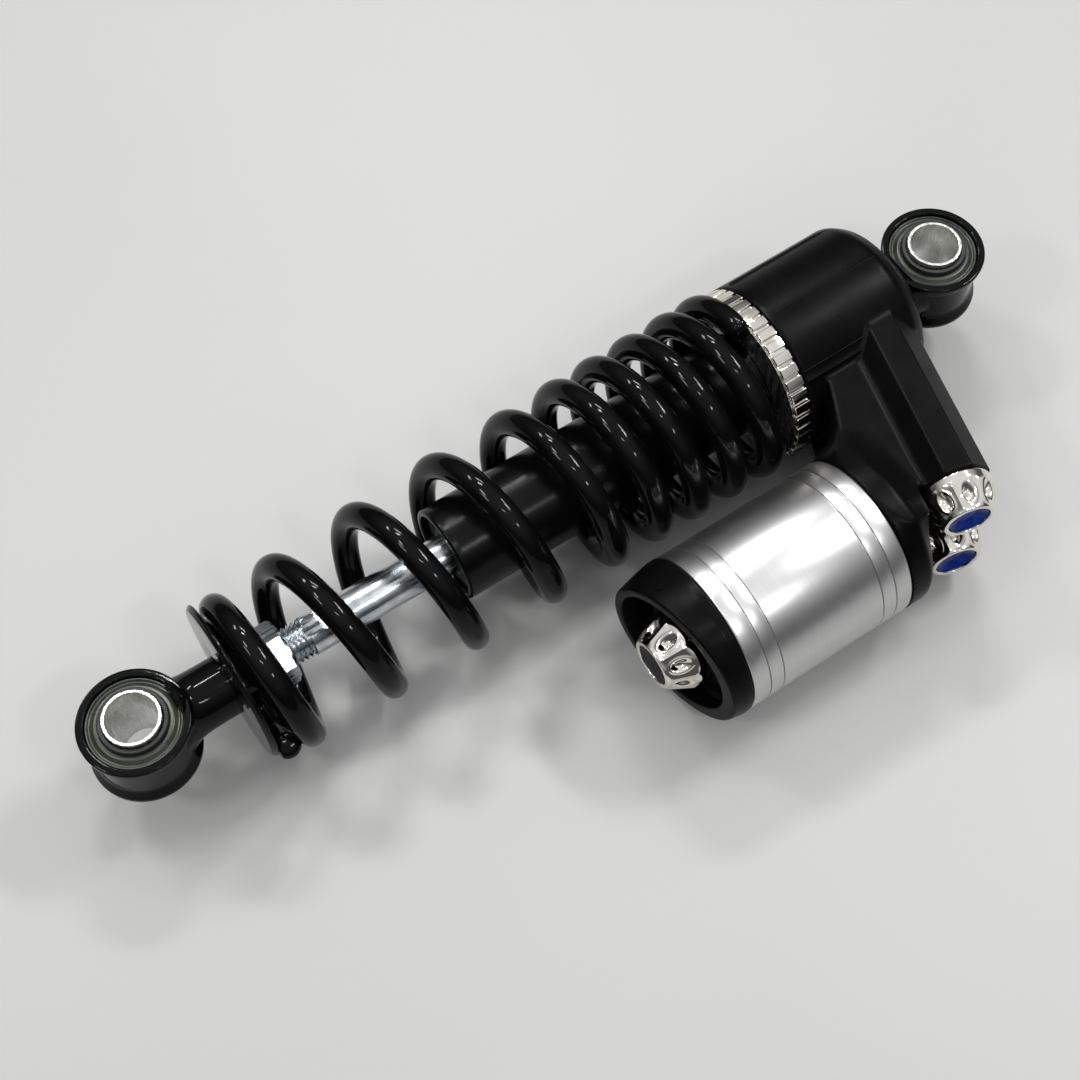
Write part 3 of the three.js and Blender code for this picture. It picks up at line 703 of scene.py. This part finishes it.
def wire(start, end, round_start, round_end):
    """Round wire between two turn counts. A round end is a worn, rounded saw cut."""
    turns = np.linspace(start, end, int((end - start) * STEPS_PER_TURN) + 1)
    centre = spring_line(turns)
    tangent = np.gradient(centre, axis=0)
    tangent /= np.linalg.norm(tangent, axis=1)[:, None]
    outward = centre * (0, 1, 1)
    outward /= np.linalg.norm(outward, axis=1)[:, None]
    across = np.cross(tangent, outward)
    across /= np.linalg.norm(across, axis=1)[:, None]
    outward = np.cross(across, tangent)
    sides = np.linspace(0, TAU, WIRE_SIDES, endpoint=False)
    rows = [
        c + WIRE_R * (np.cos(sides)[:, None] * o + np.sin(sides)[:, None] * a)
        for c, o, a in zip(centre, outward, across)
    ]

    def cap(index, direction):
        made = []
        for t in np.linspace(0.12, 0.96, 8):
            turn = t * math.pi / 2
            r = WIRE_R * (END_FLAT + (1 - END_FLAT) * math.cos(turn)) if t < 0.95 else 0.2
            shift = END_BULGE * WIRE_R * math.sin(turn) * direction * tangent[index]
            ring = np.cos(sides)[:, None] * outward[index] + np.sin(sides)[:, None] * across[index]
            made.append(centre[index] + shift + r * ring)
        return made

    if round_start:
        rows = cap(0, -1)[::-1] + rows
    if round_end:
        rows = rows + cap(-1, 1)
    rows = np.array(rows)
    rows[..., 0] = np.clip(rows[..., 0], *ground_ends())
    return shell(rows)


def make_spring():
    """The wire in two parts: the long lower turns ride on the damper, and the upper turns, from
    SPRING_SPLIT on, ride on no body.
    """
    long_part = piece("spring_lower_turns", [wire(0, SPRING_SPLIT, True, False)], "gloss_black_paint",
                      "damper", ["spring"])
    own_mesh(long_part)
    short_part = piece("spring_upper_turns", [wire(SPRING_SPLIT, SPRING_TURNS, False, True)],
                       "gloss_black_paint", None, ["spring"])
    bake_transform(short_part)


# ------------------------------------------------------------------ preload ring


RING_TEETH = 40
TOOTH_DEPTH = 0.95
RECESS_R = 25.2
TOOTH_FORM = (
    (-0.39, 0.0), (-0.375, 0.06), (-0.36, 0.5), (-0.345, 0.88), (-0.31, 1.0), (-0.15, 1.0), (0.0, 1.0),
    (0.15, 1.0), (0.31, 1.0), (0.345, 0.88), (0.36, 0.5), (0.375, 0.06), (0.39, 0.0), (0.5, 0.0),
)


def make_preload_ring():
    """Toothed ring: rectangular lugs with softened edges round a plated ring."""
    low, high = extent("preload_ring")
    tip = high[2]
    bore = TUBE_R + 0.35
    profile = rounded([
        (low[0], RECESS_R, 0.1), (low[0], tip, 0.35), (high[0], tip, 0.35), (high[0], bore, 0.3),
        (low[0] + 1, bore, 0.3), (low[0] + 1, RECESS_R, 0.2),
    ])
    angles = []
    heights = []
    for i in range(RING_TEETH):
        for offset, height in TOOTH_FORM:
            angles.append((i + offset) * TAU / RING_TEETH)
            heights.append(height)
    angles, heights = np.array(angles), np.array(heights)
    cut = (1 - heights)[None, :] * TOOTH_DEPTH
    toothed = (profile[:, 1] > tip - 0.6)[:, None]
    r = np.where(toothed, profile[:, 1:2] - cut, profile[:, 1:2])
    along = np.repeat(profile[:, 0:1], len(angles), 1)
    grid = np.stack([along, r * np.cos(angles), r * np.sin(angles)], -1)
    piece("toothed_ring", [shell(grid, True)], "chrome", "preload_ring", ["preload_ring"], sharp=32)


# ------------------------------------------------------------------ solid fields
# A field gives the signed distance of points from a solid, negative inside it. The housing is one
# casting whose walls run into each other with soft fillets, so it is meshed from joined fields.


def polygon_field(a, b, outline):
    """Signed distance in a plane from a closed outline."""
    best = np.full(a.shape, np.inf)
    inside = np.zeros(a.shape, bool)
    count = len(outline)
    for i in range(count):
        (ax, ay), (bx, by) = outline[i], outline[(i + 1) % count]
        dx, dy = bx - ax, by - ay
        length = dx * dx + dy * dy
        if length < 1e-12:
            continue
        t = np.clip(((a - ax) * dx + (b - ay) * dy) / length, 0, 1)
        best = np.minimum(best, (a - ax - t * dx) ** 2 + (b - ay - t * dy) ** 2)
        if ay != by:
            crosses = (ay > b) != (by > b)
            inside ^= crosses & (a < (bx - ax) * (b - ay) / (by - ay) + ax)
    return np.where(inside, -1, 1) * np.sqrt(best)


def box_field(place, low, high):
    gaps = [np.maximum(a - v, v - b) for v, a, b in zip(place, low, high)]
    return np.maximum(np.maximum(gaps[0], gaps[1]), gaps[2])


def blend_min(p, q, k):
    """Joins two fields with a fillet of about k."""
    h = np.clip(0.5 + 0.5 * (q - p) / k, 0, 1)
    return q + (p - q) * h - k * h * (1 - h)


def blend_max(p, q, k):
    return -blend_min(-p, -q, k)


def mesh_field(field, low, high, cell):
    """Closed mesh of the surface where the field is zero, with its points pulled onto it."""
    axes = [np.arange(low[i], high[i] + cell, cell) for i in range(3)]
    grid = np.meshgrid(*axes, indexing="ij")
    value = field(*grid)
    sign = value < 0
    shape = np.array(value.shape)
    total = np.zeros(shape - 1)
    place = np.zeros((*(shape - 1), 3))
    corners = [(i, j, k) for i in (0, 1) for j in (0, 1) for k in (0, 1)]

    def at(source, corner):
        return source[tuple(slice(c, c + n - 1) for c, n in zip(corner, shape))]

    for first in corners:
        for axis in range(3):
            if first[axis]:
                continue
            second = tuple(c + (n == axis) for n, c in enumerate(first))
            va, vb = at(value, first), at(value, second)
            crossing = at(sign, first) != at(sign, second)
            t = np.where(crossing, va / np.where(crossing, va - vb, 1), 0)
            total += crossing
            for n in range(3):
                place[..., n] += crossing * (first[n] + (t if n == axis else 0))
    used = total > 0
    number = np.full(total.shape, -1)
    number[used] = np.arange(used.sum())
    cells = np.argwhere(used)
    points = (cells + place[used] / total[used][:, None]) * cell + np.array(low)
    faces = []
    for axis in range(3):
        u, v = (axis + 1) % 3, (axis + 2) % 3
        ahead = tuple(slice(1, None) if n == axis else slice(None) for n in range(3))
        behind = tuple(slice(None, -1) if n == axis else slice(None) for n in range(3))
        edges = np.argwhere(sign[behind] != sign[ahead])
        edges = edges[(edges[:, u] > 0) & (edges[:, v] > 0)]
        step_u, step_v = np.eye(3, dtype=int)[u], np.eye(3, dtype=int)[v]
        ring = [edges - step_u - step_v, edges - step_v, edges, edges - step_u]
        quads = np.stack([number[tuple(cell_index.T)] for cell_index in ring], 1)
        outward = sign[tuple(edges.T)]
        quads[~outward] = quads[~outward][:, ::-1]
        faces.append(quads)
    nudge = 0.02
    for _ in range(4):
        here = field(*points.T)
        slope = np.stack([
            (field(*(points + nudge * axis).T) - field(*(points - nudge * axis).T)) / (2 * nudge)
            for axis in np.eye(3)
        ], 1)
        shift = here / np.maximum((slope**2).sum(1), 0.3)
        shift = np.clip(shift, -cell, cell)
        points = points - shift[:, None] * slope
    return points, [tuple(face) for face in np.concatenate(faces).tolist()]


# ------------------------------------------------------------------ upper housing

ARM_TOP_Z = 21.5
ARM_MID_Z = -2.0
WEB_TOP_Z = 16.5
LEDGE_Z = 18.2
ARM_FACE = (221.9, -67.0)
HOUSING_CELL = 0.65
EYE_CLEARANCE = 0.5
HOUSING_FLOOR_X = 247
ARM_START = 6
LEDGE_END_X = 229
WEB_FILLET = 1.2
CARRIER_FILLET = 8.0
LEDGE_FILLET = 0.4
SHROUD_FILLET = 0.9

SHROUD_OUTLINE = rounded([
    (SHROUD_X, 0, 0), (SHROUD_X, SHROUD_R, 0.6), (244.4, SHROUD_R, 5), (248.4, 24.0, 6), (252.6, 17.0, 8),
    (254.8, 11.0, 2), (255.4, 0, 0),
])
DOME_OUTLINE = rounded([
    (CAN_HIGH[0] - 8, 0, 0), (CAN_HIGH[0] - 8, RES_R - CAN_WALL, 0.4),
    (CAN_HIGH[0] + 0.3, RES_R - CAN_WALL, 0),
    (CAN_HIGH[0] + 0.3, RES_R + 0.1, 0.3), (202.8, RES_R + 0.1, 2.5), (206, 21, 3), (208.2, 12, 8),
    (209, 0, 0),
])
ARM_HALF = ARM_TOP_Z - ARM_MID_Z
ARM_UPPER = [
    (-8.4, ARM_HALF - 5.2, 0.9), (-3.3, ARM_HALF, 0.6), (4.7, ARM_HALF, 0.6), (11.6, ARM_HALF - 6.8, 0.9),
]
ARM_SECTION = rounded(ARM_UPPER + [(a, -b, radius) for a, b, radius in reversed(ARM_UPPER)], steps=3)


def curve_through(start, control, end, steps=10):
    t = np.linspace(0, 1, steps)[:, None]
    return (1 - t) ** 2 * np.array(start) + 2 * t * (1 - t) * np.array(control) + t**2 * np.array(end)


WEB_OUTLINE = np.concatenate([
    [(213.2, -12)], curve_through((212.8, -19.4), (208.5, -31), (200.4, -42.2)),
    [(200.4, -50), (203, -69), (207.5, -70.5), (210.6, -62.6), (214.5, -63.2), (236, -12)],
])


def housing_field(x, y, z):
    round_damper = np.hypot(y, z)
    round_reservoir = np.hypot(y - RES_Y, z - RES_Z)
    along = (x - ARM_ROOT[0]) * -math.sin(ARM_TILT) + y * -math.cos(ARM_TILT)
    across = (x - ARM_ROOT[0]) * math.cos(ARM_TILT) - y * math.sin(ARM_TILT)
    shroud = polygon_field(x, round_damper, SHROUD_OUTLINE)
    dome = polygon_field(x, round_reservoir, DOME_OUTLINE)
    arm = polygon_field(across, z - ARM_MID_Z, ARM_SECTION)
    beyond = (x - ARM_FACE[0]) * -math.sin(KNOB_TILT) + (y - ARM_FACE[1]) * -math.cos(KNOB_TILT)
    arm = blend_max(np.maximum(arm, ARM_START - along), beyond, 0.8)
    web = polygon_field(x, y, WEB_OUTLINE)
    web = blend_max(web, np.abs(z - ARM_MID_Z) - (WEB_TOP_Z - ARM_MID_Z), 1.0)
    ledge_low = (SHROUD_X + 0.6, -19.9, 2 * ARM_MID_Z - LEDGE_Z)
    ledge = box_field((x, y, z), ledge_low, (LEDGE_END_X, -8, LEDGE_Z))
    beam = blend_min(arm, web, WEB_FILLET)
    carrier = blend_min(beam, dome, CARRIER_FILLET)
    carrier = blend_min(carrier, ledge, LEDGE_FILLET)
    solid = blend_min(shroud, carrier, SHROUD_FILLET)
    tube_hole = np.maximum(round_damper - TUBE_R - 0.2, x - TUBE_HIGH[0] - 0.5)
    around_eye = np.hypot(x - EYE_TO_EYE, y) - EYE_RIM_R - EYE_CLEARANCE
    eye_pocket = blend_max(around_eye, np.abs(z) - EYE_HALF - EYE_CLEARANCE, 0.8)
    neck_hole = np.maximum(round_damper - NECK_R["upper"] - 0.2, HOUSING_FLOOR_X - x)
    solid = np.maximum(solid, -tube_hole)
    solid = blend_max(solid, -eye_pocket, 0.9)
    return np.maximum(solid, -neck_hole)


def make_housing():
    low = (CAN_HIGH[0] - 9, RES_Y - RES_R - 2, -28)
    high = (260, 28, 28)
    body = mesh_field(housing_field, low, high, HOUSING_CELL)
    piece("upper_casting", [body, *housing_lines()], "satin_black_plastic", "damper", ["upper_housing"],
          sharp=50)


def rib_on_shroud(angle, start, end, width, height):
    """A low moulded rib that lies along the shroud at an angle from +Y towards +Z."""
    rows = []
    for x, scale in ((start, 0.1), (start + 0.5, 1), (end - 4, 1), (end, 0.1)):
        ring = []
        for t in np.linspace(0, TAU, 12, endpoint=False):
            side = width / 2 * math.cos(t)
            lift = height * scale * math.sin(t)
            ring.append((x, SHROUD_R + lift, side))
        ring = np.array(ring)
        c, s = math.cos(angle), math.sin(angle)
        y = ring[:, 1] * c - ring[:, 2] * s
        z = ring[:, 1] * s + ring[:, 2] * c
        rows.append(np.stack([ring[:, 0], y, z], -1))
    return shell(rows)


def housing_lines():
    """Parting line along the top of the shroud and a rib near its far side."""
    return [
        rib_on_shroud(math.radians(90.4), 207.5, 244, 0.5, 0.12),
        rib_on_shroud(math.radians(43), 208, 243, 1.6, 0.5),
        rib_on_shroud(math.radians(131.5), 206.6, 228, 0.7, 0.3),
    ]


# ------------------------------------------------------------------ reservoir

GROOVE_DEPTH = 0.55
GROOVE_WIDTH = 0.48
GROOVE_NEAR = 5.5
GROOVE_FAR = 10
CAP_TILT = math.radians(9)
CAP_FRONT_X = 131.7
CAP_CUP_R = 19.2
CAP_FLOOR_X = 139.2
CAP_SPIGOT = 8
CAP_EDGE = 0.9
CAP_LIP = 0.5


def make_canister():
    """Silver tube with two fine grooves near each end."""
    start, end = CAN_LOW[0], CAN_HIGH[0]
    groove = GROOVE_DEPTH
    half = GROOVE_WIDTH / 2
    corners = [(start, RES_R - 2, 0), (start, RES_R, 0.6)]
    for x in (start + GROOVE_NEAR, start + GROOVE_FAR, end - GROOVE_FAR, end - GROOVE_NEAR):
        corners += [
            (x - half, RES_R, 0.06), (x - half / 2, RES_R - groove, 0.05),
            (x + half / 2, RES_R - groove, 0.05), (x + half, RES_R, 0.06),
        ]
    corners += [(end, RES_R, 0.6), (end, RES_R - 2, 0)]
    outline = rounded(corners, steps=3)
    piece("canister_tube", [turned(outline, "x", (0, RES_Y, RES_Z), 192)], "brushed_silver", "damper",
          ["reservoir_canister"])


def cap_pip(x, angle, skirt_r, length, width, height):
    """Small oval boss with a sunk middle on the cap's skirt."""
    out = np.array([0, math.cos(angle), math.sin(angle)])
    side = np.array([0, -math.sin(angle), math.cos(angle)])
    foot = np.array([x, RES_Y, RES_Z]) + out * skirt_r
    turns = np.linspace(0, TAU, 40, endpoint=False)[:, None]
    oval = np.cos(turns) * length * np.array([1, 0, 0]) + np.sin(turns) * width * side
    rows = [foot + oval * reach + out * lift for reach, lift in (
        (0.01, -0.6), (1.0, -0.6), (1.0, 0), (0.9, height), (0.75, height), (0.5, -0.1), (0.01, -0.15),
    )]
    return shell(rows)


def make_cap():
    """Cap with a tapered skirt, a slanted flat rim and a deep cup."""
    collar_r = RES_R + 0.1
    back = CAN_LOW[0] - 0.3
    angles = np.linspace(0, TAU, 160, endpoint=False)
    slope = math.tan(CAP_TILT)

    def rim_x(r):
        return CAP_FRONT_X - slope * r * np.cos(angles)

    def skirt_r(x):
        return np.interp(x, [120, 129, 135, 139.5, back], [20.4, 22.2, 23.6, collar_r, collar_r])

    outer = skirt_r(rim_x(22.4))
    outer = skirt_r(rim_x(outer))
    rows = [(np.full_like(angles, back + CAP_SPIGOT), np.full_like(angles, AXIS_R))]
    rows += [(np.full_like(angles, back + CAP_SPIGOT), np.full_like(angles, RES_R - CAN_WALL))]
    rows += [(np.full_like(angles, back), np.full_like(angles, RES_R - CAN_WALL))]
    rows += [(np.full_like(angles, back), np.full_like(angles, collar_r - 0.3))]
    rows += [(np.full_like(angles, back - 0.3), np.full_like(angles, collar_r))]
    for t in np.linspace(0.05, 1, 24):
        x = (back - 0.3) * (1 - t) + (rim_x(outer) + CAP_EDGE) * t
        rows.append((x, skirt_r(x)))
    edge = skirt_r(rim_x(outer) + CAP_EDGE)
    for t in np.linspace(0.15, 1, 6):
        turn = t * math.pi / 2
        edge_x = rim_x(outer) + CAP_EDGE * (1 - math.sin(turn))
        rows.append((edge_x, edge - CAP_EDGE * (1 - math.cos(turn))))
    for t in np.linspace(0, 1, 6):
        turn = t * math.pi / 2
        r = CAP_CUP_R + CAP_LIP * (1 - math.sin(turn))
        rows.append((rim_x(r) + CAP_LIP * (1 - math.cos(turn)), r))
    rows.append((np.full_like(angles, CAP_FLOOR_X - 1), np.full_like(angles, CAP_CUP_R - 0.2)))
    rows.append((np.full_like(angles, CAP_FLOOR_X), np.full_like(angles, CAP_CUP_R - 1.2)))
    rows.append((np.full_like(angles, CAP_FLOOR_X), np.full_like(angles, AXIS_R)))
    grid = [
        np.stack([x, RES_Y + r * np.cos(angles), RES_Z + r * np.sin(angles)], -1) for x, r in rows
    ]
    pip = cap_pip(134.1, math.radians(64.6), 23.3, 1.5, 0.95, 0.3)
    nub = cap_pip(131.6, math.radians(107.5), 22.9, 0.45, 0.35, 0.3)
    piece("cap_cup", [shell(grid), pip, nub], "satin_black_plastic", "damper", ["reservoir_cap"])


# ------------------------------------------------------------------ adjuster knobs

KNOB_FACET = TAU / 8
KNOB_FACE_R = 7.4
KNOB_HOLE_R = 6.1
KNOB_HOLE_DEPTH = 4.0
DISH_BACK = 3.6
KNOB_BACK_R = 10.5
FRONT_KNOB_BACK_R = 11.6
FRONT_KNOB_LENGTH = 12.6
DIMPLE_X = 4.7
DIMPLE_HALF = (2.9, 2.0)
DIMPLE_DEPTH = 1.2
DIMPLE_RIM = 0.2


def knob_radius(along, r, angle):
    """Eight soft flats that fade into a round back, with a rimmed oval dimple in each."""
    sector = (angle + KNOB_FACET / 2) % KNOB_FACET - KNOB_FACET / 2
    flat = np.cos(KNOB_FACET / 2) / np.cos(sector)
    body = smoothstep(0.1, 1.5, along) * smoothstep(9.2, 6.8, along)
    outside = r > KNOB_HOLE_R + 0.6
    facet = 1 + (flat * 1.04 - 1) * body
    far = np.hypot((along - DIMPLE_X) / DIMPLE_HALF[0], sector * r / DIMPLE_HALF[1])
    dimple = DIMPLE_DEPTH * (1 - smoothstep(0.3, 0.95, far))
    rim = DIMPLE_RIM * np.exp(-(((far - 1.08) / 0.16) ** 2)) * body
    return np.where(outside, r * facet - dimple + rim, r)


def knob_shell(back_r, length):
    """Knob with its face at x = 0."""
    corners = [
        (KNOB_HOLE_DEPTH, AXIS_R, 0), (KNOB_HOLE_DEPTH, KNOB_HOLE_R, 0), (0.0, KNOB_HOLE_R, 0.4),
        (0.0, KNOB_FACE_R, 0.5), (8.2, back_r - 0.15, 4), (length - 0.1, back_r, 0.5),
        (length - 0.1, AXIS_R, 0),
    ]
    outline = rounded(corners, False)
    dense = [outline[0]]
    for here, there in zip(outline[:-1], outline[1:]):
        steps = max(1, int(np.linalg.norm(there - here) / 0.18)) if there[1] > KNOB_HOLE_R + 1 else 1
        dense += [here + (there - here) * (i + 1) / steps for i in range(steps)]
    return turned(np.array(dense), segments=256, closed=False, radius=knob_radius)


def dish_shell():
    corners = [
        (2.6, AXIS_R, 0), (2.2, 2.8, 0.6), (1.0, KNOB_HOLE_R - 0.8, 0.4), (0.6, KNOB_HOLE_R - 0.1, 0.15),
        (DISH_BACK, KNOB_HOLE_R - 0.1, 0), (DISH_BACK, AXIS_R, 0),
    ]
    return turned(rounded(corners, False), segments=96, closed=False)


def rear_place(face):
    """Matrix that puts a knob made along +X at a rear face centre."""
    axis = Vector((math.sin(KNOB_TILT), math.cos(KNOB_TILT), 0))
    up = Vector((0, 0, 1))
    side = up.cross(axis)
    matrix = Matrix((axis, side, up)).transposed().to_4x4()
    matrix.translation = face
    return matrix


def make_knobs():
    front = Matrix.Translation((FRONT_KNOB_X, RES_Y, RES_Z))
    front_knob = moved(knob_shell(FRONT_KNOB_BACK_R, FRONT_KNOB_LENGTH), front)
    piece("front_adjuster", [front_knob], "chrome", "front_knob", ["front_knob"])
    piece("front_adjuster_plug", [moved(dish_shell(), front)], "seal_rubber", "front_knob",
          ["front_knob_plug"])
    for name, face in REAR_KNOBS.items():
        place = rear_place(face)
        body = f"rear_knob_{name}"
        rear_knob = moved(knob_shell(KNOB_BACK_R, KNOB_LENGTH), place)
        piece(f"rear_adjuster_{name}", [rear_knob], "chrome", body, [body])
        piece(f"rear_adjuster_dish_{name}", [moved(dish_shell(), place)], "blue_anodised", body,
              [f"rear_dish_{name}"])


# ------------------------------------------------------------------ carried-over CAD nodes


def finish_cad_nodes():
    """Inner pieces keep their CAD shape and get the finish of their slot."""
    slots = {part["node"]: part["material_slot"] for part in frame["record"]["subparts"]}
    for name, node in frame["nodes"].items():
        slot = slots.get(name, "bright_steel")
        node.data.materials.clear()
        node.data.materials.append(FINISHES.get(slot, FINISHES["bright_steel"]))


def make_floor():
    size = 3.0
    mesh = bpy.data.meshes.new("floor")
    corners = [(-size, -size, 0), (size, -size, 0), (size, size, 0), (-size, size, 0)]
    mesh.from_pydata(corners, [], [(0, 1, 2, 3)])
    mesh.materials.append(pale_floor())
    floor = bpy.data.objects.new("floor", mesh)
    bpy.context.scene.collection.objects.link(floor)


make_camera()
light_studio()
make_floor()
make_eyes()
make_bushes()
make_lower_seat()
make_lock_nut()
make_rod()
make_tube()
make_spring()
make_preload_ring()
make_housing()
make_canister()
make_cap()
make_knobs()
finish_cad_nodes()
